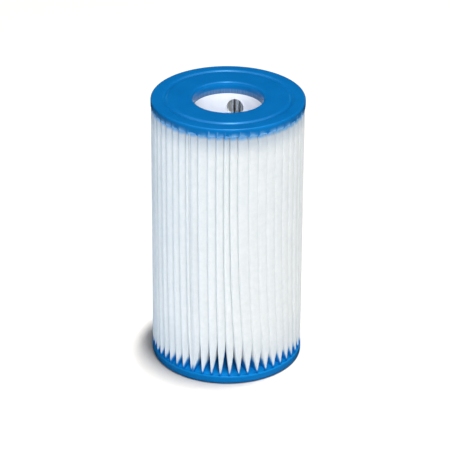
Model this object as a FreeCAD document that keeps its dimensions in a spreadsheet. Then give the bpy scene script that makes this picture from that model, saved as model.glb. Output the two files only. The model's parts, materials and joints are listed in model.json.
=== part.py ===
"""Pleated filter cartridge for a pool pump: a perforated core tube inside a ring of pleated
polyester sheet, closed by a hot-melt seam, with both ends potted into moulded soft end caps.

The cartridge stands on its lower cap. The origin is the centre of that cap's flat outer face,
+Z runs up the axis and -Y is the front. Lengths are in millimetres and angles in degrees.
"""

import FreeCAD, Part
import math
import os

import Sketcher

# Driving dimensions, kept in the document's spreadsheet under these aliases.
DIMENSIONS = [
    ("overall_height", 200.0, "outer face to outer face of the two caps"),
    ("cap_radius", 54.0, "outside of both end caps"),
    ("bore_radius", 24.6, "through hole of both end caps"),
    ("skirt_height", 6.0, "outer face of a cap to its inner floor, where the pleats come out"),
    ("collar_height", 8.5, "outer face of a cap to the end of the collar that lines the core"),
    ("lip_fillet", 2.5, "rounded mouth of the bore"),
    ("rim_fillet", 1.5, "outer edge of a cap's outer face"),
    ("skirt_fillet", 0.4, "outer edge of a cap's inner floor"),
    ("groove_radius", 44.0, "middle of the ring groove in a cap's outer face"),
    ("groove_arc", 2.5, "radius of the groove's round section"),
    ("groove_depth", 1.0, "depth of the ring groove"),
    ("groove_fillet", 0.4, "edges of the ring groove"),
    ("core_inner_radius", 25.2, "inside of the core tube"),
    ("core_outer_radius", 27.0, "outside of the core tube"),
    ("core_inset", 4.0, "outer face of a cap to the end of the core tube"),
    ("hole_diameter", 12.0, "perforations of the core tube"),
    ("hole_columns", 4, "perforations round one row"),
    ("hole_rows", 10, "rows of perforations, each turned half a column from its neighbours"),
    ("first_row_height", 19.1, "outer face of a cap to the middle of the nearest row"),
    ("hole_azimuth", 78.4, "direction of a top row perforation, anticlockwise from +X"),
    ("pleat_count", 52, "pleats round the cartridge"),
    ("sheet_thickness", 0.6, "filter sheet"),
    ("tip_radius", 53.4, "reach of the outer folds from the axis"),
    ("root_radius", 27.3, "reach of the inner folds towards the axis"),
    ("loop_radius", 1.3, "outside radius of an outer fold"),
    ("fold_radius", 0.8, "outside radius of an inner fold"),
    ("sheet_inset", 2.5, "outer face of a cap to the cut edge of the sheet"),
    ("seam_azimuth", -117.0, "direction of the pleat that holds the seam, anticlockwise from +X"),
    ("bead_depth", 9.0, "radial depth of the hot-melt bead in the seam pleat"),
]

# The pieces of the cartridge, each written to parts/NAME.step.
PIECES = ["core_tube", "pleated_media", "seam_bead", "bottom_end_cap", "top_end_cap"]

START, END, CENTRE = 1, 2, 3  # which point of a sketch line or arc a constraint holds
ORIGIN, X_AXIS_LINE, Y_AXIS_LINE = -1, -1, -2  # a sketch's own origin point and two axes
FULL_TURN = 360.0
TOLERANCE = 1e-4


def fill_spreadsheet(doc):
    """Writes every driving dimension into the sheet and returns their values by alias."""
    sheet = doc.addObject("Spreadsheet::Sheet", "dims")
    for row, (alias, value, meaning) in enumerate(DIMENSIONS, start=1):
        sheet.set(f"A{row}", str(value))
        sheet.setAlias(f"A{row}", alias)
        sheet.set(f"B{row}", meaning)
    doc.recompute()
    return {alias: float(getattr(sheet, alias)) for alias, _, _ in DIMENSIONS}


def new_body(doc, name):
    body = doc.addObject("PartDesign::Body", name)
    body.Label = name
    return body


def origin_feature(body, role):
    """One of the body's own origin planes or axes, such as XY_Plane or Z_Axis."""
    return next(f for f in body.Origin.OriginFeatures if f.Role == role)


def new_sketch(body, name, plane):
    sketch = body.newObject("Sketcher::SketchObject", name)
    sketch.AttachmentSupport = [(origin_feature(body, plane), "")]
    sketch.MapMode = "FlatFace"
    return sketch


def drive(sketch, constraint, name, expression):
    """Adds a dimension to the sketch and binds it to the spreadsheet."""
    index = sketch.addConstraint(constraint)
    sketch.renameConstraint(index, name)
    sketch.setExpression(f"Constraints.{name}", expression)


def place_point(sketch, geometry, point, position, name, x, y):
    """Drives a point's two coordinates by the expressions x and y; None puts it on the axis."""
    for kind, value, axis, expression in (
        ("DistanceX", position[0], "x", x),
        ("DistanceY", position[1], "y", y),
    ):
        if expression is None:
            sketch.addConstraint(Sketcher.Constraint("PointOnObject", geometry, point, X_AXIS_LINE))
            continue
        constraint = Sketcher.Constraint(kind, ORIGIN, START, geometry, point, value)
        drive(sketch, constraint, f"{name}_{axis}", expression)


def draw_circle(sketch, centre, radius, name, x, y, radius_expression):
    """A circle whose middle and radius follow the given expressions."""
    circle = Part.Circle(FreeCAD.Vector(*centre, 0), FreeCAD.Vector(0, 0, 1), radius)
    index = sketch.addGeometry(circle)
    if x is None:
        sketch.addConstraint(Sketcher.Constraint("Coincident", index, CENTRE, ORIGIN, START))
    else:
        place_point(sketch, index, CENTRE, centre, name, x, y)
    drive(sketch, Sketcher.Constraint("Radius", index, radius), f"{name}_size", radius_expression)
    return index


def draw_polygon(sketch, corners):
    """A closed outline of level and upright lines. Each corner is (name, point, x, y), with
    the expressions that drive it."""
    vectors = [FreeCAD.Vector(*corner[1], 0) for corner in corners]
    lines = []
    for start, end in zip(vectors, vectors[1:] + vectors[:1]):
        lines.append(sketch.addGeometry(Part.LineSegment(start, end)))
    for line, following in zip(lines, lines[1:] + lines[:1]):
        sketch.addConstraint(Sketcher.Constraint("Coincident", line, END, following, START))
    for line, (name, point, x, y) in zip(lines, corners):
        place_point(sketch, line, START, point, name, x, y)
    return lines


def pad(body, sketch, name, length):
    feature = body.newObject("PartDesign::Pad", name)
    feature.Profile = sketch
    feature.setExpression("Length", length)
    return feature


def circle_edges(feature, radius, height):
    """Names of the feature's circular edges of that radius round Z at that height."""
    names = []
    for index, edge in enumerate(feature.Shape.Edges, start=1):
        curve = edge.Curve
        if not isinstance(curve, Part.Circle):
            continue
        on_axis = math.hypot(curve.Center.x, curve.Center.y) < TOLERANCE
        if on_axis and abs(curve.Radius - radius) < TOLERANCE and abs(curve.Center.z - height) < TOLERANCE:
            names.append(f"Edge{index}")
    if not names:
        raise RuntimeError(f"{feature.Label} has no circular edge of radius {radius} at {height}")
    return names


def fillet(body, base, name, edges, radius):
    feature = body.newObject("PartDesign::Fillet", name)
    feature.Base = (base, edges)
    feature.setExpression("Radius", radius)
    body.Document.recompute()
    return feature


def perforate(body, size, name, first_row, turn):
    """Cuts every second row of round holes through the tube wall, turned about Z by turn."""
    sketch = new_sketch(body, f"{name}_sketch", "XZ_Plane")
    rotation = FreeCAD.Rotation(FreeCAD.Vector(0, 1, 0), turn)
    sketch.AttachmentOffset = FreeCAD.Placement(FreeCAD.Vector(0, 0, 0), rotation)
    pitch = "(dims.overall_height - 2 * dims.first_row_height) / (dims.hole_rows - 1)"
    pitch_now = (size["overall_height"] - 2 * size["first_row_height"]) / (size["hole_rows"] - 1)
    for row in range(first_row, int(size["hole_rows"]), 2):
        height = size["first_row_height"] - size["core_inset"] + row * pitch_now
        height_rule = f"dims.first_row_height - dims.core_inset + {row} * {pitch}"
        index = sketch.addGeometry(
            Part.Circle(FreeCAD.Vector(0, height, 0), FreeCAD.Vector(0, 0, 1), size["hole_diameter"] / 2)
        )
        sketch.addConstraint(Sketcher.Constraint("PointOnObject", index, CENTRE, Y_AXIS_LINE))
        middle = Sketcher.Constraint("DistanceY", ORIGIN, START, index, CENTRE, height)
        drive(sketch, middle, f"row_{row}", height_rule)
        radius = Sketcher.Constraint("Radius", index, size["hole_diameter"] / 2)
        drive(sketch, radius, f"hole_{row}", "dims.hole_diameter / 2")
    holes = body.newObject("PartDesign::Pocket", f"{name}_holes")
    holes.Profile = sketch
    holes.Type = "Length"
    holes.setExpression("Length", "dims.core_outer_radius + 1")
    body.Document.recompute()
    ring = body.newObject("PartDesign::PolarPattern", f"{name}_ring")
    ring.Originals = [holes]
    ring.Axis = (origin_feature(body, "Z_Axis"), [""])
    ring.Angle = FULL_TURN
    ring.setExpression("Occurrences", "dims.hole_columns")
    body.Tip = ring
    body.Document.recompute()


def build_core_tube(doc, size):
    """Straight tube, open at both ends, with staggered rows of round holes."""
    body = new_body(doc, "core_tube")
    wall = new_sketch(body, "core_wall", "XY_Plane")
    draw_circle(wall, (0, 0), size["core_inner_radius"], "inner", None, None, "dims.core_inner_radius")
    draw_circle(wall, (0, 0), size["core_outer_radius"], "outer", None, None, "dims.core_outer_radius")
    pad(body, wall, "core_length", "dims.overall_height - 2 * dims.core_inset")
    doc.recompute()
    solid_volume = body.Shape.Volume
    half_column = FULL_TURN / size["hole_columns"] / 2
    perforate(body, size, "upper", 1, 0)
    perforate(body, size, "lower", 0, half_column)
    if body.Shape.Volume > 0.95 * solid_volume:
        raise RuntimeError("the perforations did not cut the core tube")
    body.setExpression("Placement.Base.z", "dims.core_inset")
    body.setExpression("Placement.Rotation.Angle", "dims.hole_azimuth + 90")
    return body


def tangent_points(centre_a, radius_a, centre_b, radius_b):
    """Where the straight line that passes between two circles, touching both, meets each."""
    dx, dy = centre_b[0] - centre_a[0], centre_b[1] - centre_a[1]
    angle = math.atan2(dy, dx) - math.acos((radius_a + radius_b) / math.hypot(dx, dy))
    on_a = (centre_a[0] + radius_a * math.cos(angle), centre_a[1] + radius_a * math.sin(angle))
    on_b = (centre_b[0] - radius_b * math.cos(angle), centre_b[1] - radius_b * math.sin(angle))
    return on_a, on_b


def mirrored(point):
    return (point[0], -point[1])


def add_line(sketch, start, end):
    return sketch.addGeometry(Part.LineSegment(FreeCAD.Vector(*start, 0), FreeCAD.Vector(*end, 0)))


def add_arc(sketch, centre, start, middle_angle, end):
    """Adds the arc round centre from start to end that passes the direction middle_angle."""
    radius = math.hypot(start[0] - centre[0], start[1] - centre[1])
    middle = (centre[0] + radius * math.cos(middle_angle), centre[1] + radius * math.sin(middle_angle))
    return sketch.addGeometry(Part.Arc(*[FreeCAD.Vector(*point, 0) for point in (start, middle, end)]))


def join(sketch, kind, first, second):
    """Ties the two nearest ends of two parts of a sketch, Coincident or Tangent."""

    def gap(ends):
        return (sketch.getPoint(first, ends[0]) - sketch.getPoint(second, ends[1])).Length

    a, b = min([(a, b) for a in (START, END) for b in (START, END)], key=gap)
    sketch.addConstraint(Sketcher.Constraint(kind, first, a, second, b))


def fold_middle(size):
    """Centre of the inner fold on the upper side of the pleat that lies along +X."""
    half_pitch = math.pi / size["pleat_count"]
    reach = size["root_radius"] + size["fold_radius"]
    return (reach * math.cos(half_pitch), reach * math.sin(half_pitch))


def draw_pleat_face(sketch, size, loop_radius, fold_radius):
    """One face of the pleat along +X: a bend at the tip, two straight leaves and, at the root
    of each leaf, the half of the inner fold that belongs to this pleat."""
    loop = (size["tip_radius"] - size["loop_radius"], 0.0)
    fold = fold_middle(size)
    share = 1 - fold_radius / math.hypot(*fold)
    root = (share * fold[0], share * fold[1])
    on_loop, on_fold = tangent_points(loop, loop_radius, fold, fold_radius)
    from_leaf = math.atan2(on_fold[1] - fold[1], on_fold[0] - fold[0]) % (2 * math.pi)
    to_root = math.pi + math.pi / size["pleat_count"]
    halfway = (from_leaf + to_root) / 2
    parts = {
        "bend": add_arc(sketch, loop, on_loop, 0.0, mirrored(on_loop)),
        "upper_leaf": add_line(sketch, on_loop, on_fold),
        "upper_fold": add_arc(sketch, fold, on_fold, halfway, root),
        "lower_leaf": add_line(sketch, mirrored(on_loop), mirrored(on_fold)),
        "lower_fold": add_arc(sketch, mirrored(fold), mirrored(on_fold), -halfway, mirrored(root)),
        "upper_root": root,
        "lower_root": mirrored(root),
    }
    for side in ("upper", "lower"):
        join(sketch, "Tangent", parts["bend"], parts[f"{side}_leaf"])
        join(sketch, "Tangent", parts[f"{side}_leaf"], parts[f"{side}_fold"])
    return parts


def close_pleat(sketch, dirty, clean, side):
    """Joins the two faces by the short line where this pleat meets its neighbour. The line
    points at the axis and passes through the centre of the shared fold."""
    fold, root = f"{side}_fold", f"{side}_root"
    meeting = add_line(sketch, dirty[root], clean[root])
    join(sketch, "Coincident", dirty[fold], meeting)
    join(sketch, "Coincident", clean[fold], meeting)
    sketch.addConstraint(Sketcher.Constraint("PointOnObject", ORIGIN, START, meeting))
    sketch.addConstraint(Sketcher.Constraint("PointOnObject", dirty[fold], CENTRE, meeting))


def draw_pleat(sketch, size):
    """One pleat along +X, from the middle of one inner fold to the middle of the next. Its
    dirty face is outside and its clean face one sheet thickness within."""
    thin = size["sheet_thickness"]
    dirty_radii = (size["loop_radius"], size["fold_radius"] - thin)
    clean_radii = (size["loop_radius"] - thin, size["fold_radius"])
    dirty = draw_pleat_face(sketch, size, *dirty_radii)
    clean = draw_pleat_face(sketch, size, *clean_radii)
    close_pleat(sketch, dirty, clean, "upper")
    close_pleat(sketch, dirty, clean, "lower")
    for part in ("bend", "upper_fold", "lower_fold"):
        same_centre = Sketcher.Constraint("Coincident", dirty[part], CENTRE, clean[part], CENTRE)
        sketch.addConstraint(same_centre)

    loop_reach = size["tip_radius"] - size["loop_radius"]
    loop_rule = "dims.tip_radius - dims.loop_radius"
    place_point(sketch, dirty["bend"], CENTRE, (loop_reach, 0), "loop", loop_rule, None)
    x_rule = "(dims.root_radius + dims.fold_radius) * cos(180 deg / dims.pleat_count)"
    y_rule = "(dims.root_radius + dims.fold_radius) * sin(180 deg / dims.pleat_count)"
    upper = fold_middle(size)
    place_point(sketch, dirty["upper_fold"], CENTRE, upper, "upper_fold", x_rule, y_rule)
    lower_rules = (x_rule, f"-1 * {y_rule}")
    place_point(sketch, dirty["lower_fold"], CENTRE, mirrored(upper), "lower_fold", *lower_rules)

    loop_rules = {"dirty": "dims.loop_radius", "clean": "dims.loop_radius - dims.sheet_thickness"}
    fold_rules = {"dirty": "dims.fold_radius - dims.sheet_thickness", "clean": "dims.fold_radius"}
    for face, parts, radii in (("dirty", dirty, dirty_radii), ("clean", clean, clean_radii)):
        bend = Sketcher.Constraint("Radius", parts["bend"], radii[0])
        drive(sketch, bend, f"{face}_bend_size", loop_rules[face])
        for fold in ("upper_fold", "lower_fold"):
            fold_size = Sketcher.Constraint("Radius", parts[fold], radii[1])
            drive(sketch, fold_size, f"{face}_{fold}_size", fold_rules[face])


def build_pleated_media(doc, size):
    """One sheet folded into a closed ring of pleats, cut open at the tip of the seam pleat."""
    body = new_body(doc, "pleated_media")
    section = new_sketch(body, "pleat_section", "XY_Plane")
    draw_pleat(section, size)
    pleat = pad(body, section, "pleat", "dims.overall_height - 2 * dims.sheet_inset")
    doc.recompute()
    ring = body.newObject("PartDesign::PolarPattern", "pleat_ring")
    ring.Originals = [pleat]
    ring.Axis = (origin_feature(body, "Z_Axis"), [""])
    ring.Angle = FULL_TURN
    ring.setExpression("Occurrences", "dims.pleat_count")
    body.Tip = ring
    doc.recompute()
    closed_volume = body.Shape.Volume

    opening = new_sketch(body, "seam_opening", "XY_Plane")
    near = size["tip_radius"] - size["loop_radius"]
    far = size["cap_radius"]
    side = 2 * size["loop_radius"]
    near_rule, far_rule = "dims.tip_radius - dims.loop_radius", "dims.cap_radius"
    draw_polygon(
        opening,
        [
            ("near_right", (near, -side), near_rule, "-2 * dims.loop_radius"),
            ("far_right", (far, -side), far_rule, "-2 * dims.loop_radius"),
            ("far_left", (far, side), far_rule, "2 * dims.loop_radius"),
            ("near_left", (near, side), near_rule, "2 * dims.loop_radius"),
        ],
    )
    cut = body.newObject("PartDesign::Pocket", "seam_cut")
    cut.Profile = opening
    cut.Reversed = True
    cut.Type = "Length"
    cut.setExpression("Length", "dims.overall_height")
    doc.recompute()
    if body.Shape.Volume > closed_volume - 1:
        raise RuntimeError("the seam cut did not open the ring of pleats")
    body.setExpression("Placement.Base.z", "dims.sheet_inset")
    body.setExpression("Placement.Rotation.Angle", "dims.seam_azimuth")
    return body


def build_seam_bead(doc, size, media):
    """Hot-melt strip that fills the seam pleat between the two end leaves of the sheet."""
    body = new_body(doc, "bead_blank")
    section = new_sketch(body, "bead_section", "XY_Plane")
    outer = size["tip_radius"] - size["loop_radius"]
    inner = outer - size["bead_depth"]
    side = size["loop_radius"] - size["sheet_thickness"] / 2
    outer_rule = "dims.tip_radius - dims.loop_radius"
    inner_rule = f"{outer_rule} - dims.bead_depth"
    side_rule = "(dims.loop_radius - dims.sheet_thickness / 2)"
    draw_polygon(
        section,
        [
            ("inner_right", (inner, -side), inner_rule, f"-1 * {side_rule}"),
            ("outer_right", (outer, -side), outer_rule, f"-1 * {side_rule}"),
            ("outer_left", (outer, side), outer_rule, side_rule),
            ("inner_left", (inner, side), inner_rule, side_rule),
        ],
    )
    pad(body, section, "bead_length", "dims.overall_height - 2 * dims.sheet_inset")
    body.setExpression("Placement.Base.z", "dims.sheet_inset")
    body.setExpression("Placement.Rotation.Angle", "dims.seam_azimuth")
    doc.recompute()
    return moulded_round(doc, body, [media], "seam_bead")


def moulded_round(doc, blank, held, name):
    """The blank with the room that the held pieces take cut out of it."""
    moulded = blank
    for piece in held:
        cut = doc.addObject("Part::Cut", f"{name}_round_{piece.Label}")
        cut.Base = moulded
        cut.Tool = piece
        moulded = cut
    moulded.Label = name
    doc.recompute()
    return moulded


def build_cap_blank(doc, size, name):
    """A whole end cap with its outer face down at Z = 0, before the pieces it holds are cut out."""
    body = new_body(doc, name)
    section = new_sketch(body, f"{name}_section", "XZ_Plane")
    bore, core, rim = size["bore_radius"], size["core_inner_radius"], size["cap_radius"]
    skirt, collar = size["skirt_height"], size["collar_height"]
    draw_polygon(
        section,
        [
            ("bore_face", (bore, 0), "dims.bore_radius", None),
            ("rim_face", (rim, 0), "dims.cap_radius", None),
            ("rim_floor", (rim, skirt), "dims.cap_radius", "dims.skirt_height"),
            ("collar_floor", (core, skirt), "dims.core_inner_radius", "dims.skirt_height"),
            ("collar_end", (core, collar), "dims.core_inner_radius", "dims.collar_height"),
            ("bore_end", (bore, collar), "dims.bore_radius", "dims.collar_height"),
        ],
    )
    disc = body.newObject("PartDesign::Revolution", f"{name}_disc")
    disc.Profile = section
    disc.ReferenceAxis = (origin_feature(body, "Z_Axis"), [""])
    disc.Angle = FULL_TURN
    doc.recompute()
    disc_volume = body.Shape.Volume

    groove_section = new_sketch(body, f"{name}_groove_section", "XZ_Plane")
    groove_middle = (size["groove_radius"], size["groove_depth"] - size["groove_arc"])
    middle_rule = "dims.groove_depth - dims.groove_arc"
    draw_circle(
        groove_section, groove_middle, size["groove_arc"], "groove", "dims.groove_radius", middle_rule,
        "dims.groove_arc",
    )
    groove = body.newObject("PartDesign::Groove", f"{name}_groove")
    groove.Profile = groove_section
    groove.ReferenceAxis = (origin_feature(body, "Z_Axis"), [""])
    groove.Angle = FULL_TURN
    doc.recompute()
    if body.Shape.Volume > disc_volume - 1:
        raise RuntimeError(f"the ring groove did not cut {name}")

    half_width = math.sqrt(size["groove_arc"] ** 2 - (size["groove_arc"] - size["groove_depth"]) ** 2)
    groove_edges = []
    for edge_radius in (size["groove_radius"] - half_width, size["groove_radius"] + half_width):
        groove_edges += circle_edges(groove, edge_radius, 0)
    eased = fillet(body, groove, f"{name}_groove_edges", groove_edges, "dims.groove_fillet")
    lip = fillet(body, eased, f"{name}_lip", circle_edges(eased, bore, 0), "dims.lip_fillet")
    rounded = fillet(body, lip, f"{name}_rim", circle_edges(lip, rim, 0), "dims.rim_fillet")
    fillet(body, rounded, f"{name}_skirt", circle_edges(rounded, rim, skirt), "dims.skirt_fillet")
    return body


def build_end_caps(doc, size, held):
    """The lower cap and, turned over at the top, the same cap again."""
    bottom_blank = build_cap_blank(doc, size, "bottom_cap_blank")
    bottom = moulded_round(doc, bottom_blank, held, "bottom_end_cap")
    top_blank = build_cap_blank(doc, size, "top_cap_blank")
    top_blank.Placement.Rotation = FreeCAD.Rotation(FreeCAD.Vector(1, 0, 0), 180)
    top_blank.setExpression("Placement.Base.z", "dims.overall_height")
    top = moulded_round(doc, top_blank, held, "top_end_cap")
    return bottom, top


def check_document(doc):
    """Stops if any object failed to recompute."""
    for item in doc.Objects:
        bad = {"Invalid", "Error"} & set(item.State)
        if bad:
            raise RuntimeError(f"{item.Label} is in state {sorted(bad)}")


def write_pieces(pieces):
    os.makedirs("parts", exist_ok=True)
    for name in PIECES:
        shape = pieces[name].Shape
        if shape.isNull() or not shape.isValid():
            raise RuntimeError(f"{name} has no valid shape")
        if len(shape.Solids) != 1:
            raise RuntimeError(f"{name} has {len(shape.Solids)} solids")
        shape.exportStep(f"parts/{name}.step")
        print(f"{name}: {shape.Volume / 1000:.1f} cm3, {len(shape.Faces)} faces")


def main():
    doc = FreeCAD.newDocument("filter_cartridge")
    size = fill_spreadsheet(doc)
    core = build_core_tube(doc, size)
    media = build_pleated_media(doc, size)
    bead = build_seam_bead(doc, size, media)
    doc.recompute()
    bottom, top = build_end_caps(doc, size, [core, media, bead])
    doc.recompute()
    check_document(doc)
    write_pieces({piece.Label: piece for piece in (core, media, bead, bottom, top)})


main()
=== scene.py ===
"""Looks for the pleated filter cartridge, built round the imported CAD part.

The folded sheet, its seam bead and both end caps are modelled again here, with the uneven
pleats, the pinched pleat ends and the cast edges of a real cartridge. The core tube is the CAD
part's own. Azimuths are in radians to the right of the front, which is -Y.
"""

import json
import math

import bpy
import numpy as np
from mathutils import Matrix, Vector, noise


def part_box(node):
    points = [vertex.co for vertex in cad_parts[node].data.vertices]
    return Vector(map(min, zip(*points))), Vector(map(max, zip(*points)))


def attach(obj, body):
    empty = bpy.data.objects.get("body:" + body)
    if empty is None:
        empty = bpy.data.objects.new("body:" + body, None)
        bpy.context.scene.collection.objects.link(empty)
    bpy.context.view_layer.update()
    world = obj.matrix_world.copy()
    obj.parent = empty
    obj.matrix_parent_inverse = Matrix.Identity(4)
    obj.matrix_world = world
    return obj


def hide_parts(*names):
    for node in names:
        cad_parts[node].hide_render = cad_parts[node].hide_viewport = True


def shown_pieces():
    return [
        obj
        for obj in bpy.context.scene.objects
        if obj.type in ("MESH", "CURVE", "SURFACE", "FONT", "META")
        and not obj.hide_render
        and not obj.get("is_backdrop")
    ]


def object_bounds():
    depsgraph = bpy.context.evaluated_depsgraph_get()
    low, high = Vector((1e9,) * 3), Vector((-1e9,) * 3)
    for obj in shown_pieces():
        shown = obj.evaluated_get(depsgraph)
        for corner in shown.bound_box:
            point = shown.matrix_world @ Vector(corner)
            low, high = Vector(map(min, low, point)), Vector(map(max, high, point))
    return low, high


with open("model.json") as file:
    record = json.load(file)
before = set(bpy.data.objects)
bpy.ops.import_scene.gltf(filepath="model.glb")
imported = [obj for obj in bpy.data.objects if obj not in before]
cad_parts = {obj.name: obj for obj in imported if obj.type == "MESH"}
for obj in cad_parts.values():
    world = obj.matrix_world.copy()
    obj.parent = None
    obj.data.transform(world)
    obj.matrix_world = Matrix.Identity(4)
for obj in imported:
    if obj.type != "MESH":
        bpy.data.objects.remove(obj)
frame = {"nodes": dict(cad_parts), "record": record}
CAD_LOW, CAD_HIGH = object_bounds()

MM = 0.001
DEG = math.pi / 180

# ---- places and sizes that come from the frame ----
MEDIA_LOW, MEDIA_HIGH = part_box("pleated_media")
BEAD_LOW, BEAD_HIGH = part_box("seam_bead")
CORE_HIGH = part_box("core_tube")[1]
CAP_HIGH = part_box("bottom_end_cap")[1]
BEAD_MIDDLE = (BEAD_LOW + BEAD_HIGH) / 2
MOUNTS = {mount["name"]: mount for mount in frame["record"]["mounts"]}

HEIGHT = CAD_HIGH.z
CAP_R = CAP_HIGH.x
TIP_R = MEDIA_HIGH.x
CORE_R = CORE_HIGH.x
BORE_R = MOUNTS["top_bore"]["dims"]["r_mm"] * MM
COLLAR_DEPTH = CAP_HIGH.z
SEAM = math.atan2(BEAD_MIDDLE.x, -BEAD_MIDDLE.y)
MEDIA_HEIGHT = MEDIA_HIGH.z - MEDIA_LOW.z

# ---- the directions of the pleats ----
PLEATS = 52
PITCH = 2 * math.pi / PLEATS
WIDEST_AT = 40 * DEG  # direction where the pleats stand widest apart
CROWDING = 5 * DEG  # how far the uneven spacing turns a pleat, either way
SEAM_PUSH = 1.35 * DEG  # how far the seam turns the pleats next to it aside
UNEVEN = 0.7 * DEG  # how far a single pleat strays
OPEN_EDGE = 5.5 * DEG  # direction at the front where open pleats give way to tight ones
LEAN = 8.2 * DEG  # how far the top of a tight pleat leans to the left
LEAN_OPEN = 5.2 * DEG  # how much less an open pleat leans
LEAN_UNEVEN = 0.6 * DEG

# ---- the shape of a pleat ----
SHEET = 0.55 * MM  # thickness of the sheet
ROOT_R = CORE_R + 1.1 * MM
ROOT_FOLD = 0.5 * MM  # radius of an inner fold
TIP_REACH = TIP_R + 0.3 * MM  # mean radius of the outer face of the sheet at the tips
REACH_UNEVEN = 0.25 * MM
PINCHED = 0.25 * MM  # half width of a tip at the caps
LEFT_WIDENING = 0.8 * MM  # how much wider the left half of a tip is between the caps
TIP_GAP = 0.65 * MM  # between neighbouring tips where they are widest
TIP_GAP_OPEN = 0.25 * MM  # how much wider that gap is where the pleats stand apart
LEFT_FALL = 0.7 * MM  # how far a tip falls back on its left
LEFT_FALL_OPEN = 0.6 * MM  # how much farther where the pleats stand apart
RIGHT_FALL = 0.9 * MM
RIGHT_FALL_OPEN = 1.6 * MM
LEAF_ROOM = 0.52 * SHEET  # from the middle of the room between two leaves to each middle line
SEAM_HALF = 3.0 * MM  # from the middle of the seam pleat to its left shoulder
SEAM_EDGE = 0.75 * MM  # from the middle of the seam to each cut edge of the sheet

# ---- the ends of the pleats ----
POTTING = 6.8 * MM  # from a cap's outer face to the potting surface between the pleats
PINCH_WAY = 15 * MM  # height over which the foot of a pleat widens
PINCH_WAY_FRONT = 14 * MM  # how much longer that is where it is longest
PINCH_FRONT = -8 * DEG  # direction where it is longest
PINCH_UNEVEN = 2.5 * MM
PINCH_WAY_TOP = 9 * MM  # the same way below the top cap
TOP_WIDTH = 0.6  # share of its full width that a tip keeps at the top cap

# ---- stretches of the sheet's mesh ----
LEAF_STEPS = 8
TIP_STEPS = 10
ROOT_STEPS = 3
SHEET_LEVELS = 32
BEAD_LEVELS = 60


def noise_at(x, y=0.0, z=0.0):
    """Smooth noise from -1 to 1. The factors in its calls set how fast it changes, and the lone
    numbers beside them keep one use of it apart from another."""
    return noise.noise(Vector((x, y, z)))


def clamp(x):
    return min(1.0, max(0.0, x))


def smooth(x):
    """Eases from 0 to 1 as x goes from 0 to 1."""
    x = clamp(x)
    return x * x * (3 - 2 * x)


def fade(distance, length):
    """Eases from 1 to 0 as the distance grows from 0 to the length."""
    return smooth(1 - distance / length)


def place(radius, azimuth, z, aside=0.0):
    """The point at this radius in this direction, moved aside to the right of it."""
    x = radius * math.sin(azimuth) + aside * math.cos(azimuth)
    y = -radius * math.cos(azimuth) + aside * math.sin(azimuth)
    return (x, y, z)


def share_up(z):
    """0 at the bottom of the sheet, 1 at its top."""
    return (z - MEDIA_LOW.z) / MEDIA_HEIGHT


# ---- the folded sheet ----
def openness(azimuth):
    """1 where the pleats stand apart, 0 on the cartridge's right, where they lie tight."""
    return smooth(0.5 - 3 * math.sin(azimuth - OPEN_EDGE))


def tip_azimuth(pleat, up):
    """Direction of a pleat's tip; up is 0 at the bottom and 1 at the top. Pleats are numbered to
    the right from the seam. They stand wider apart on the right, are pushed aside by the seam and
    lean to the left."""
    base = SEAM + pleat * PITCH
    crowd = CROWDING * (1 + math.sin(base - WIDEST_AT))
    from_seam = (pleat + PLEATS // 2) % PLEATS - PLEATS // 2
    aside = 0.0
    if from_seam != 0:
        aside = SEAM_PUSH * math.copysign(math.exp(-(abs(from_seam) - 1) / 2), from_seam)
    foot = base + crowd + aside + UNEVEN * noise_at(from_seam * 1.7, 3.1)
    lean = LEAN - LEAN_OPEN * openness(foot) + LEAN_UNEVEN * noise_at(from_seam * 2.3, 9.4)
    return foot - lean * (1 - (1 - up) ** 3)


def root_azimuth(pleat, up):
    """Direction of the inner fold on the left of a pleat, which leans less than the tips do."""
    level = 0.15 + 0.2 * up
    return (tip_azimuth(pleat - 1, level) + tip_azimuth(pleat, level)) / 2


def rise(pleat, z, at_top):
    """Grows from 0 at the bottom cap's potting surface to 1 where the pleat has its full width,
    and falls to at_top at the top cap. The feet are pinched over a longer way than the top ends,
    most of all at the front."""
    forward = (1 + math.cos(tip_azimuth(pleat, 0.0) - PINCH_FRONT)) / 2
    uneven = PINCH_UNEVEN * noise_at(pleat % PLEATS * 2.7, 15.5)
    way = PINCH_WAY + PINCH_WAY_FRONT * forward ** 8 + uneven
    from_bottom = clamp((z - POTTING) / way)
    from_top = clamp((HEIGHT - POTTING - z) / PINCH_WAY_TOP)
    low = 1 - (1 - from_bottom) ** 1.05
    high = at_top + (1 - at_top) * (1 - (1 - from_top) ** 2)
    return low * high


def half_width(pleat, z, broad):
    """Half width of a pleat's tip at a height: pinched at the caps and broad between them."""
    pinched = SEAM_EDGE + PINCHED if pleat in (0, PLEATS) else PINCHED
    return pinched + (broad - pinched) * rise(pleat, z, TOP_WIDTH)


def left_half(pleat, z):
    """Half width of a pleat's tip on its left."""
    if pleat == PLEATS:
        return half_width(pleat, z, SEAM_HALF)
    wave = (0.2 * noise_at(pleat * 1.3, 7.7) + 0.1 * noise_at(pleat * 3.1, z * 22)) * MM
    return half_width(pleat, z, PINCHED + LEFT_WIDENING + wave)


def right_half(pleat, z, up):
    """Half width of a pleat's tip on its right. Between the caps the pleats lie over to the left,
    so this shoulder is broad and leaves only a thin gap to the next tip."""
    azimuth = tip_azimuth(pleat, up)
    spacing = (tip_azimuth(pleat + 1, up) - azimuth) * TIP_R
    wave = 0.08 * MM * noise_at(pleat * 1.9, 2.2, z * 12)
    gap = TIP_GAP + TIP_GAP_OPEN * openness(azimuth) + wave
    return half_width(pleat, z, spacing - left_half(pleat + 1, z) - gap)


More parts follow.
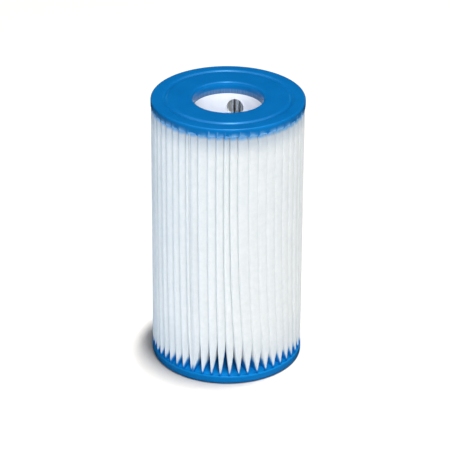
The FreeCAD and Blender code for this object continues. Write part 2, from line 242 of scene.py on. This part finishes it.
def tip_side(pleat, side, z, up):
    """Half width of a pleat's tip on one side, and how far the tip falls back there."""
    openly = rise(pleat, z, TOP_WIDTH) * openness(tip_azimuth(pleat, up)) ** 2
    if side < 0:
        return left_half(pleat, z), LEFT_FALL + LEFT_FALL_OPEN * openly
    return right_half(pleat, z, up), RIGHT_FALL + RIGHT_FALL_OPEN * openly


def gap_at(pleat, z, up):
    """Direction of the middle of the gap between the tips of this pleat and the next."""
    left = tip_azimuth(pleat, up) + right_half(pleat, z, up) / TIP_R
    right = tip_azimuth(pleat + 1, up) - left_half(pleat + 1, z) / TIP_R
    return (left + right) / 2


def tip_reach(pleat, z):
    """Radius of the middle of the sheet at a pleat's tip."""
    return TIP_REACH - SHEET / 2 + REACH_UNEVEN * noise_at(pleat % PLEATS * 1.9, 20 + z * 9)


def belly(pleat, side, z, along):
    """Share of the free room towards the next pleat that a leaf takes up, this far along from its
    root to its tip. Between the caps neighbouring leaves nearly touch a little below the tips."""
    fullness = 0.98 + 0.02 * noise_at(pleat * 2.1 + side * 5, z * 18)
    bulge = math.sin(math.pi * along ** 12) ** 0.7
    return fullness * bulge * rise(pleat, z, 1.0) ** 2


def leaf_points(pleat, side, z, up):
    """Points of one leaf from its root to the start of the tip's bend, closer together towards
    the tip. The middle of the room between it and its neighbour runs from the direction root to
    the direction gap."""
    tip_at = tip_azimuth(pleat, up)
    root = root_azimuth(pleat if side < 0 else pleat + 1, up)
    gap = gap_at(pleat - 1 if side < 0 else pleat, z, up)
    half, fall = tip_side(pleat, side, z, up)
    root_x, root_y, _ = place(ROOT_R, root, z, -side * ROOT_FOLD)
    end_x, end_y, _ = place(tip_reach(pleat, z) - fall, tip_at, z, side * half)
    points = []
    for step in range(LEAF_STEPS + 1):
        along = 1 - (1 - step / LEAF_STEPS) ** 1.9
        x = root_x + (end_x - root_x) * along
        y = root_y + (end_y - root_y) * along
        middle = root + (gap - root) * along
        turn = side * (middle - math.atan2(x, -y))
        turn = (turn + math.pi) % (2 * math.pi) - math.pi
        room = max(0.0, math.hypot(x, y) * turn - LEAF_ROOM)
        bow = side * room * belly(pleat, side, z, along)
        points.append((x + bow * math.cos(tip_at), y + bow * math.sin(tip_at), z))
    return points


def tip_points(pleat, z, up):
    """Points round the bend of a tip from its left leaf to its right, without its two ends. The
    seam pleat is cut: its right half is pleat 0 and its left half the pleat after the last."""
    first = TIP_STEPS // 2 if pleat == 0 else 1
    last = TIP_STEPS // 2 if pleat == PLEATS else TIP_STEPS - 1
    edge = SEAM_EDGE if pleat in (0, PLEATS) else 0.0
    points = []
    for step in range(first, last + 1):
        angle = math.pi * (step / TIP_STEPS - 0.5)
        side = 1 if angle > 0 or pleat == 0 else -1
        half, fall = tip_side(pleat, side, z, up)
        along = abs(math.sin(angle))
        drop = along ** 1.8 if side > 0 else 1 - math.cos(angle)
        reach = tip_reach(pleat, z) - fall * drop - edge * (1 - along) ** 4
        offset = side * (edge + (half - edge) * along)
        points.append(place(reach, tip_azimuth(pleat, up), z, offset))
    return points


def root_points(root, z):
    """Points round an inner fold from left to right, without its two ends."""
    points = []
    for step in range(1, ROOT_STEPS):
        angle = math.pi * (step / ROOT_STEPS - 0.5)
        reach = ROOT_R - ROOT_FOLD * math.cos(angle)
        points.append(place(reach, root, z, ROOT_FOLD * math.sin(angle)))
    return points


def sheet_section(z):
    """The sheet's middle line at one height, from its first cut edge round to its last."""
    up = share_up(z)
    points = []
    for pleat in range(PLEATS + 1):
        if pleat > 0:
            points += leaf_points(pleat, -1, z, up)
        points += tip_points(pleat, z, up)
        if pleat < PLEATS:
            points += leaf_points(pleat, 1, z, up)[::-1]
            points += root_points(root_azimuth(pleat + 1, up), z)
    return points


def sheet_heights():
    """Levels of the sheet's mesh, closer together near the caps."""
    heights = []
    for step in range(SHEET_LEVELS + 1):
        share = step / SHEET_LEVELS
        eased = share - 0.8 * math.sin(2 * math.pi * share) / (2 * math.pi)
        heights.append(MEDIA_LOW.z + MEDIA_HEIGHT * eased)
    return heights


def grid_mesh(name, rows, closed_rows=False, closed_columns=False, closed_ends=False):
    """A mesh of quads over rows of points, optionally joined end to end either way, or with a
    face over its first row and one over its last."""
    count = len(rows[0])
    vertices = [point for row in rows for point in row]
    faces = []
    row_total = len(rows) if closed_columns else len(rows) - 1
    column_total = count if closed_rows else count - 1
    for row in range(row_total):
        below = row * count
        above = (row + 1) % len(rows) * count
        for column in range(column_total):
            after = (column + 1) % count
            faces.append((below + column, below + after, above + after, above + column))
    if closed_ends:
        faces.append(tuple(range(count))[::-1])
        faces.append(tuple(range(len(vertices) - count, len(vertices))))
    mesh = bpy.data.meshes.new(name)
    mesh.from_pydata(vertices, [], faces)
    mesh.polygons.foreach_set("use_smooth", [True] * len(mesh.polygons))
    mesh.update()
    thing = bpy.data.objects.new(name, mesh)
    bpy.context.scene.collection.objects.link(thing)
    return thing


def store(thing, name, values):
    """Keeps one number for each of a piece's vertices, for its material to read."""
    attribute = thing.data.attributes.new(name, "FLOAT", "POINT")
    attribute.data.foreach_set("value", np.array(values, np.float32))


def stand_in(thing, node):
    """Makes a piece take the place of a CAD node. Nothing on the cartridge moves, so every piece
    rides on the same body."""
    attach(thing, "root")
    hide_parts(node)


def soak_and_shade_at(x, y, z):
    """How far the caps' compound has climbed into the sheet here, from 0 to 1: high up the leaves
    at the bottom and hardly at all along the tips. A faint greying fades out over 40 mm above the
    bottom, and a longer grey tail below the top cap is painted shade under its skirt."""
    azimuth = math.atan2(x, -y)
    inward = smooth((TIP_REACH - math.hypot(x, y) - 0.3 * MM) / (2 * MM))
    ragged = 0.9 * noise_at(azimuth * 14, z * 30) + 1.2 * noise_at(azimuth * 40, 5.5)
    climb = (1.8 + 2 * (1 - openness(azimuth))) * inward
    above_bottom = z - POTTING - (0.2 + (0.4 + 0.6 * inward) * ragged + climb) * MM
    below_top = HEIGHT - POTTING - z + (0.4 - 0.7 * ragged) * MM
    at_bottom = fade(above_bottom, (3 + 5 * inward) * MM)
    bottom_tail = 0.09 * fade(above_bottom, 40 * MM)
    at_top = 0.54 * fade(below_top, 4 * MM)
    # Painted shade: the sheet greys below the top cap, where its skirt shades it.
    top_painted_shade = 0.24 * fade(below_top, 16 * MM)
    return max(at_bottom, bottom_tail, at_top, top_painted_shade)


def build_sheet():
    """The folded sheet: the surface in its middle, given its thickness by a modifier."""
    sheet = grid_mesh("pleated_sheet", [sheet_section(z) for z in sheet_heights()])
    store(sheet, "soak_and_painted_shade", [soak_and_shade_at(*vertex.co) for vertex in sheet.data.vertices])
    thick = sheet.modifiers.new("thickness", "SOLIDIFY")
    thick.thickness = SHEET
    thick.offset = 0
    stand_in(sheet, "pleated_media")
    return sheet


# ---- end caps: profile points are a radius and a depth from the cap's outer face ----
GROOVE_R = CAP_R - 10 * MM
GROOVE_HALF = 2.5 * MM
GROOVE_DEPTH = 1.0 * MM
GROOVE_STEPS = 16
LIP = 2.5 * MM  # rounding of the bore's mouth
RIM = 1.6 * MM  # rounding of the outer edge
SKIRT_ROUNDING = 1.2 * MM  # rounding of the skirt's edge
SKIRT = 1.4 * MM  # width of the skirt
COLLAR_R = BORE_R + 0.6 * MM  # outside of the thin collar on the core
COLLAR_FROM = 4.6 * MM  # depth where the collar's stripes begin
TOP_SKIRT = 5.8 * MM  # mean depth of the top cap's ragged edge
BOTTOM_SKIRT = 6.0 * MM
GAP_AT = 0.8  # where the gap lies, as a share of the way from one tip to the next
GAP_WIDTH = 0.11
FILM_FROM = 1.5 * MM  # depth where the sheet begins to show through the top cap's skirt, and the painted haze with it
FILM_WIDTH = 2 * MM  # how far in from the cap's outside it does

# Rings of the mesh on straight stretches: those in the bore carry the change of colour towards
# the collar, and those on the outer face keep its shading flat.
BORE_RINGS = (COLLAR_DEPTH, POTTING, 6 * MM, 5.4 * MM, 4.8 * MM, 4.2 * MM, 3.4 * MM)
INSIDE_GROOVE = (CAP_R - 23 * MM, CAP_R - 18 * MM, CAP_R - 14 * MM)
OUTSIDE_GROOVE = (CAP_R - 6 * MM, CAP_R - 4 * MM)
SKIRT_STEPS = 6
ROUNDING_STEPS = 8

# The potting surface from the skirt inwards: how far in from the cap's outside each ring lies,
# how far past the skirt's edge, and the share of its full height that the meniscus against the
# leaves has there.
POTTING_RINGS = (
    (1.8 * MM, 0.1 * MM, 0),
    (3 * MM, 0.6 * MM, 0.2),
    (5 * MM, 1.3 * MM, 0.6),
    (8 * MM, 1.6 * MM, 1),
    (14 * MM, 1.6 * MM, 1),
    (20 * MM, 1.4 * MM, 1),
)
MENISCUS = 0.8 * MM

# Columns of the mesh as shares of the way from one tip to the next, closest at the gap.
COLUMN_SHARES = (0, 0.06, 0.12, 0.2, 0.3, 0.4, 0.5, 0.6, 0.68, 0.74, 0.8, 0.86, 0.94)


def arc(centre_r, centre_d, radius, start, end, steps):
    """Profile points round a corner, between two angles in degrees."""
    points = []
    for step in range(steps + 1):
        angle = (start + (end - start) * step / steps) * DEG
        points.append((centre_r + radius * math.cos(angle), centre_d + radius * math.sin(angle)))
    return points


def groove_profile():
    """The ring groove, from its inner edge out, eased where it meets the flat face."""
    points = []
    for step in range(GROOVE_STEPS + 1):
        across = 2 * step / GROOVE_STEPS - 1
        depth = GROOVE_DEPTH * (1 + math.cos(math.pi * across)) / 2
        points.append((GROOVE_R + across * GROOVE_HALF, depth))
    return points


def outer_face_profile():
    """Profile from the end of the collar up the bore and over the outer face."""
    points = [(BORE_R, depth) for depth in BORE_RINGS]
    points += arc(BORE_R + LIP, LIP, LIP, 180, 270, ROUNDING_STEPS)
    points += [(radius, 0) for radius in INSIDE_GROOVE]
    points += groove_profile()
    points += [(radius, 0) for radius in OUTSIDE_GROOVE]
    points += arc(CAP_R - RIM, RIM, RIM, 270, 360, ROUNDING_STEPS)
    return points


def inner_profile(edge, share):
    """Profile from the skirt's wall round its edge and in over the potting surface, this share of
    the way from one tip to the next."""
    straight = edge - SKIRT_ROUNDING - RIM
    points = [(CAP_R, RIM + straight * step / SKIRT_STEPS) for step in range(1, SKIRT_STEPS + 1)]
    points += arc(CAP_R - SKIRT_ROUNDING, edge - SKIRT_ROUNDING, SKIRT_ROUNDING, 20, 85, 3)
    for inwards, past_edge, climb in POTTING_RINGS:
        meniscus = MENISCUS * climb * abs(2 * share - 1) ** 4
        points.append((CAP_R - inwards, edge + past_edge + meniscus))
    points.append((CORE_R, POTTING + 0.3 * MM))
    points.append((COLLAR_R, POTTING))
    points.append((COLLAR_R, COLLAR_DEPTH))
    return points


def cap_columns():
    """The columns of a cap's mesh, as a pleat and a share of the way to the next pleat."""
    return [(pleat, share) for pleat in range(PLEATS) for share in COLUMN_SHARES]


def column_azimuth(pleat, share, up):
    """Direction of the point a share of the way from this pleat's tip to the next."""
    left = tip_azimuth(pleat, up)
    right = tip_azimuth(pleat + 1, up)
    return left + (right - left) * share


def in_gap(share):
    """1 in the gap on the left of the next pleat's tip, 0 over the broad shoulder of a pleat."""
    return math.exp(-((share - GAP_AT) / GAP_WIDTH) ** 2)


def top_edge(pleat, share, azimuth):
    """Depth of the top cap's ragged lower edge, which runs down into the gaps."""
    droop = 1.3 + 0.7 * noise_at(pleat * 2.9, 31.5)
    wander = 0.5 * noise_at(azimuth * 11, 12.5) + 0.3 * noise_at(azimuth * 45, 2.5)
    return TOP_SKIRT + (droop * in_gap(share) + wander) * MM


def bottom_edge(azimuth):
    """Height of the bottom cap's smooth upper edge."""
    return BOTTOM_SKIRT + 0.12 * MM * noise_at(azimuth * 3, 8.5)


def painted_light_at(edge, radius, depth):
    """Painted light that brightens the blue here, from 0 to 1: 1 on the potting surface between the
    pleats, where they shade it, less as a painted highlight line on the rounded edge of the skirt
    and on the wall of the bore."""
    if radius > CAP_R - SKIRT:
        on_rounding = depth > edge - 0.9 * MM
        return 0.3 if on_rounding else 0.0
    if radius > COLLAR_R:
        on_potting = depth > 5 * MM
        return 1.0 if on_potting else 0.0
    in_bore = radius < BORE_R + 0.5 * MM and depth > 1.5 * MM
    return 0.25 if in_bore else 0.0


def film_and_painted_haze_at(pleat, edge, share, radius, depth):
    """How pale the top cap's skirt turns here, from 0 to 1: where the sheet shows through it, in a
    pale line along the edge over most pleats and up the whole skirt along some of the tips, and
    in a haze near the edge that is painted light."""
    if radius < CAP_R - FILM_WIDTH or depth < FILM_FROM:
        return 0.0
    above_edge = edge - depth
    some_pleats = smooth(0.6 + 2 * noise_at(pleat * 1.9, 3.3))
    line = fade(above_edge, 1 * MM) * some_pleats * (1 - in_gap(share))
    some_tips = smooth(3 * noise_at(pleat * 4.3, 8.8)) * fade(min(share, 1 - share), 0.12)
    streak = some_tips * smooth((depth - FILM_FROM) / (1.5 * MM))
    # Painted light: a pale haze that brightens the skirt near its edge.
    haze = fade(above_edge, 3.6 * MM) * smooth(0.5 + 1.5 * noise_at(share + pleat * 1.1, 6.1))
    return max(0.85 * line, 0.45 * streak, 0.42 * haze)


def collar_at(radius, depth):
    """1 on the thin collar that lines the core, 0 elsewhere."""
    if radius > BORE_R + 0.01 * MM:
        return 0.0
    return smooth((depth - COLLAR_FROM) / (1.2 * MM))


def build_cap(name, node, top):
    """An end cap, turned from its profile round the axis. Its skirt's edge and its potting surface
    follow the pleats."""
    outer = outer_face_profile()
    rows, film_and_painted_haze, painted_light_share, collar = [], [], [], []
    up = 1.0 if top else 0.0
    for pleat, share in cap_columns():
        azimuth = column_azimuth(pleat, share, up)
        edge = top_edge(pleat, share, azimuth) if top else bottom_edge(azimuth)
        row = []
        for radius, depth in outer + inner_profile(edge, share):
            row.append(place(radius, azimuth, HEIGHT - depth if top else depth))
            film_and_painted_haze.append(film_and_painted_haze_at(pleat, edge, share, radius, depth) if top else 0.0)
            painted_light_share.append(painted_light_at(edge, radius, depth))
            collar.append(collar_at(radius, depth))
        rows.append(row)
    cap = grid_mesh(name, rows, closed_rows=True, closed_columns=True)
    if not top:
        cap.data.flip_normals()
    # The skirt's paleness with its painted haze, and the painted light on the blue, go to the
    # material.
    store(cap, "film_and_painted_haze", film_and_painted_haze)
    store(cap, "painted_light_share", painted_light_share)
    store(cap, "collar", collar)
    stand_in(cap, node)
    return cap


# ---- seam bead ----
BEAD_DEPTH = 7 * MM  # from its outer side in
BEAD_ROUNDING = 0.5 * MM
BEAD_SUNK = 0.65 * MM  # mean distance of its outer side from the tips


def build_bead():
    """The hot-melt strip between the two cut edges, a little uneven along its outer side."""
    outline = (
        (-1, BEAD_DEPTH),
        (-1, BEAD_ROUNDING),
        (-0.5, 0.1 * MM),
        (0.5, 0.1 * MM),
        (1, BEAD_ROUNDING),
        (1, BEAD_DEPTH),
    )
    rows = []
    for step in range(BEAD_LEVELS + 1):
        z = MEDIA_LOW.z + MEDIA_HEIGHT * step / BEAD_LEVELS
        at = tip_azimuth(0, share_up(z))
        reach = TIP_REACH - BEAD_SUNK - 0.12 * MM * noise_at(z * 70, 4.5)
        rows.append([place(reach - down, at, z, share * SEAM_EDGE) for share, down in outline])
    bead = grid_mesh("glue_bead", rows, closed_rows=True, closed_ends=True)
    store(bead, "soak_and_painted_shade", [soak_and_shade_at(*vertex.co) for vertex in bead.data.vertices])
    stand_in(bead, "seam_bead")
    return bead


# ---- materials ----
def linear(red, green, blue):
    """Scene colour for a display colour given from 0 to 255."""
    values = []
    for value in (red, green, blue):
        share = value / 255
        values.append(share / 12.92 if share < 0.04045 else ((share + 0.055) / 1.055) ** 2.4)
    return (*values, 1.0)


class Nodes:
    """Short ways to add and join the nodes of one material."""

    def __init__(self, name):
        self.material = bpy.data.materials.new(name)
        self.material.use_nodes = True
        self.tree = self.material.node_tree
        self.tree.nodes.clear()
        self.output = self.tree.nodes.new("ShaderNodeOutputMaterial")

    def add(self, kind, inputs=None, **settings):
        """A node whose inputs are given as values or as the outputs to join to them."""
        node = self.tree.nodes.new(kind)
        for key, value in settings.items():
            setattr(node, key, value)
        for key, value in (inputs or {}).items():
            if isinstance(value, bpy.types.NodeSocket):
                self.tree.links.new(value, node.inputs[key])
            else:
                node.inputs[key].default_value = value
        return node

    def ramp(self, factor, stops):
        node = self.add("ShaderNodeValToRGB", {"Fac": factor})
        elements = node.color_ramp.elements
        while len(elements) < len(stops):
            elements.new(0.5)
        for element, (position, colour) in zip(elements, stops):
            element.position = position
            element.color = colour
        return node.outputs["Color"]

    def mix(self, factor, first, second, blend="MIX"):
        inputs = {0: factor, 6: first, 7: second}
        return self.add("ShaderNodeMix", inputs, data_type="RGBA", blend_type=blend).outputs[2]

    def maths(self, operation, first, second):
        return self.add("ShaderNodeMath", {0: first, 1: second}, operation=operation).outputs[0]

    def attribute(self, name):
        return self.add("ShaderNodeAttribute", attribute_name=name).outputs["Fac"]

    def position(self):
        return self.add("ShaderNodeNewGeometry").outputs["Position"]

    def noise(self, scale, detail, roughness, vector=None):
        inputs = {"Scale": scale, "Detail": detail, "Roughness": roughness}
        inputs["Vector"] = vector if vector is not None else self.position()
        return self.add("ShaderNodeTexNoise", inputs).outputs["Fac"]

    def mottled(self, scale, roughness, first, second):
        """A colour that wanders between two others."""
        return self.ramp(self.noise(scale, 3, roughness), [(0.3, first), (0.7, second)])

    def bump(self, height, strength, distance):
        inputs = {"Height": height, "Strength": strength, "Distance": distance}
        return self.add("ShaderNodeBump", inputs).outputs[0]

    def finish(self, surface):
        self.tree.links.new(surface.outputs[0], self.output.inputs["Surface"])
        return self.material


def stained_and_shaded(nodes, colour):
    """The colour, turning blue where the caps' compound has climbed into or over the surface,
    and grey where painted shade lies below the top cap.
    """
    stain_and_shade = nodes.ramp(
        nodes.attribute("soak_and_painted_shade"),
        [
            (0.0, (1, 1, 1, 1)),
            # This grey is the painted shade below the top cap.
            (0.25, linear(228, 234, 240)),
            (0.5, linear(150, 205, 240)),
            (0.75, linear(75, 160, 222)),
            (1.0, linear(10, 135, 220)),
        ],
    )
    return nodes.mix(1.0, colour, stain_and_shade, "MULTIPLY")


def sheet_material():
    """Spun-bonded polyester: matt, mottled by its fibres and letting half of the light through."""
    nodes = Nodes("spun_polyester")
    white = nodes.mottled(260, 0.6, (0.9, 0.925, 0.935, 1), (0.96, 0.97, 0.975, 1))
    fibres = nodes.bump(nodes.noise(1400, 3, 0.6), 0.35, 0.2 * MM)
    both = {"Color": stained_and_shaded(nodes, white), "Normal": fibres}
    matt = nodes.add("ShaderNodeBsdfDiffuse", {**both, "Roughness": 0.6})
    through = nodes.add("ShaderNodeBsdfTranslucent", both)
    body = nodes.add("ShaderNodeMixShader", {0: 0.5, 1: matt.outputs[0], 2: through.outputs[0]})
    return nodes.finish(body)


def collar_stripes(nodes):
    """The greyish colour of the compound on the core, in fine upright stripes."""
    parts = nodes.add("ShaderNodeSeparateXYZ", {0: nodes.position()})
    azimuth = nodes.maths("ARCTAN2", parts.outputs[0], parts.outputs[1])
    around = nodes.add("ShaderNodeCombineXYZ", {0: nodes.maths("MULTIPLY", azimuth, 24.0)})
    stripes = nodes.noise(1.0, 3, 0.7, around.outputs[0])
    return nodes.ramp(stripes, [(0.35, (0.05, 0.17, 0.38, 1)), (0.65, (0.16, 0.3, 0.5, 1))])


def cap_material():
    """Soft plastisol: a deep glossy blue with painted light that brightens it on the potting
    surface, in the bore and along the skirt's edge, paler where a layer of it lies on the sheet
    and where a painted haze lies near the top skirt's edge, and striped where it lines the core."""
    nodes = Nodes("blue_plastisol")
    blue = nodes.mottled(55, 0.5, (0.0006, 0.112, 0.338, 1), (0.001, 0.128, 0.376, 1))
    # Painted light: a brighter blue mixed in where the potting surface lies in the pleats' shade, on
    # the bore's wall and as a highlight line on the skirt's edge.
    blue_with_painted_light = nodes.mix(nodes.attribute("painted_light_share"), blue, (0.004, 0.3, 0.8, 1))
    # The skirt pales where the sheet shows through it, and near its edge with a painted haze.
    skirt = nodes.mix(nodes.attribute("film_and_painted_haze"), blue_with_painted_light, linear(160, 208, 242))
    surface = nodes.add(
        "ShaderNodeBsdfPrincipled",
        {
            "Base Color": nodes.mix(nodes.attribute("collar"), skirt, collar_stripes(nodes)),
            "Roughness": 0.3,
            "Normal": nodes.bump(nodes.noise(420, 3, 0.55), 0.12, 0.4 * MM),
            "Specular IOR Level": 0.3,
            "Specular Tint": (0.2, 0.57, 0.86, 1.0),
        },
    )
    return nodes.finish(surface)


def core_material():
    """White moulded polypropylene with a soft sheen and faint flow marks."""
    nodes = Nodes("white_polypropylene")
    surface = nodes.add(
        "ShaderNodeBsdfPrincipled",
        {
            "Base Color": nodes.mottled(60, 0.5, linear(236, 240, 250), linear(246, 248, 253)),
            "Roughness": 0.42,
            "Normal": nodes.bump(nodes.noise(300, 2, 0.5), 0.05, 0.5 * MM),
            "Subsurface Weight": 0.1,
            "Subsurface Radius": (2 * MM, 2 * MM, 2 * MM),
        },
    )
    return nodes.finish(surface)


def bead_material():
    """Milky hot-melt glue."""
    nodes = Nodes("hot_melt")
    milky = nodes.mottled(180, 0.5, linear(206, 213, 219), linear(216, 222, 227))
    surface = nodes.add(
        "ShaderNodeBsdfPrincipled",
        {"Base Color": stained_and_shaded(nodes, milky), "Roughness": 0.6},
    )
    return nodes.finish(surface)


def floor_material():
    """A slightly warm white, which keeps the shadow beside the blue caps neutral."""
    nodes = Nodes("studio_floor")
    return nodes.finish(nodes.add("ShaderNodeBsdfDiffuse", {"Color": (0.98, 0.95, 0.915, 1)}))


def paint(thing, material):
    thing.data.materials.clear()
    thing.data.materials.append(material)


# ---- studio ----
def build_floor():
    """A plain floor, a hair below the cartridge so that the two faces don't meet."""
    half = 6.0
    level = -0.2 * MM
    mesh = bpy.data.meshes.new("floor")
    corners = [(-half, -half, level), (half, -half, level), (half, half, level), (-half, half, level)]
    mesh.from_pydata(corners, [], [(0, 1, 2, 3)])
    floor = bpy.data.objects.new("floor", mesh)
    bpy.context.scene.collection.objects.link(floor)
    paint(floor, floor_material())
    floor.visible_glossy = False
    floor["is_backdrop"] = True


def add_softbox(name, location, target, size, power, colour=(1, 1, 1)):
    """A rectangular light that faces its target and isn't seen itself."""
    light = bpy.data.lights.new(name, "AREA")
    light.shape = "RECTANGLE"
    light.size, light.size_y = size
    light.energy = power
    light.color = colour
    thing = bpy.data.objects.new(name, light)
    thing.visible_camera = False
    thing.location = location
    thing.rotation_euler = (Vector(target) - Vector(location)).to_track_quat("-Z", "Y").to_euler()
    bpy.context.scene.collection.objects.link(thing)
    return thing


def only_for(light, things):
    """Lets a light fall on these things alone."""
    receivers = bpy.data.collections.new("lit_by_" + light.name)
    for thing in things:
        receivers.objects.link(thing)
    light.light_linking.receiver_collection = receivers


def light_surroundings():
    """Dim white surroundings that don't show as reflections."""
    world = bpy.data.worlds.new("studio")
    world.use_nodes = True
    background = world.node_tree.nodes["Background"]
    background.inputs["Color"].default_value = (1, 1, 1, 1)
    background.inputs["Strength"].default_value = 0.18
    world.cycles_visibility.glossy = False
    bpy.context.scene.world = world


def light_studio(sheet, top_cap, bottom_cap, core):
    """A distant softbox nearly overhead that casts the shadow, and softer lights for the cartridge
    alone: a wide panel above and two low blue strips at the back that only show as highlights, a
    fill in front, a cool light on the left for the sheet, and shadowless ones for the caps and for
    the inside of the core."""
    middle = (0, 0, HEIGHT / 2)
    top = (0, 0, HEIGHT)
    strip_blue = (0.1, 0.7, 1)
    wide = (0.8, 0.8)
    add_softbox("overhead", (0.14, -0.055, 4.0), middle, (0.6, 0.2), 154)
    glow = add_softbox("glow", (0, 0, 1.6), middle, (2.2, 1.6), 27.5)
    highlights = [glow]
    for name, x in (("back_left", -0.72), ("back_right", 0.72)):
        highlights.append(add_softbox(name, (x, 1.45, 0.53), top, (0.5, 0.22), 0.6, strip_blue))
    fill = add_softbox("fill", (0.27, -1.6, 0.6), middle, wide, 22.6, (0.95, 0.98, 1))
    left = add_softbox("left", (-1.5, -0.2, 0.4), middle, wide, 8, (0.25, 0.6, 1.0))
    front = add_softbox("front", (0, -1.6, 0.4), middle, wide, 3.6)
    inside = add_softbox("inside", (0, -0.8, 1.2), middle, (0.4, 0.4), 12, (1, 1, 0.97))
    for light in highlights:
        light.visible_diffuse = False
        only_for(light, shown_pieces())
    only_for(fill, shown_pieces())
    only_for(left, [sheet])
    only_for(front, [top_cap, bottom_cap])
    only_for(inside, [core])
    for light in (front, inside):
        light.data.use_shadow = False
    for light in (fill, left, front, inside):
        light.visible_glossy = False


def build_camera():
    """A long lens in front of the cartridge and above it, turned a little about its own axis."""
    elevation = 27.6 * DEG
    distance = 1.712
    roll = 0.39 * DEG
    target = Vector((-0.9 * MM, 0, HEIGHT / 2 - 1.3 * MM))
    camera = bpy.data.cameras.new("camera")
    camera.lens = 191
    camera.sensor_width = 36
    thing = bpy.data.objects.new("camera", camera)
    thing.location = target + distance * Vector((0, -math.cos(elevation), math.sin(elevation)))
    look = (target - thing.location).to_track_quat("-Z", "Y").to_matrix()
    thing.rotation_euler = (look @ Matrix.Rotation(roll, 3, "Z")).to_euler()
    bpy.context.scene.collection.objects.link(thing)
    bpy.context.scene.camera = thing


sheet = build_sheet()
top_cap = build_cap("top_cap", "top_end_cap", True)
bottom_cap = build_cap("bottom_cap", "bottom_end_cap", False)
bead = build_bead()
core = frame["nodes"]["core_tube"]

plastisol = cap_material()
paint(sheet, sheet_material())
paint(top_cap, plastisol)
paint(bottom_cap, plastisol)
paint(bead, bead_material())
paint(core, core_material())

build_floor()
light_surroundings()
light_studio(sheet, top_cap, bottom_cap, core)
build_camera()
# Light bounces many times between the white leaves before it leaves their gaps.
bpy.context.scene.cycles.diffuse_bounces = 10
bpy.context.scene.view_settings.view_transform = "Standard"
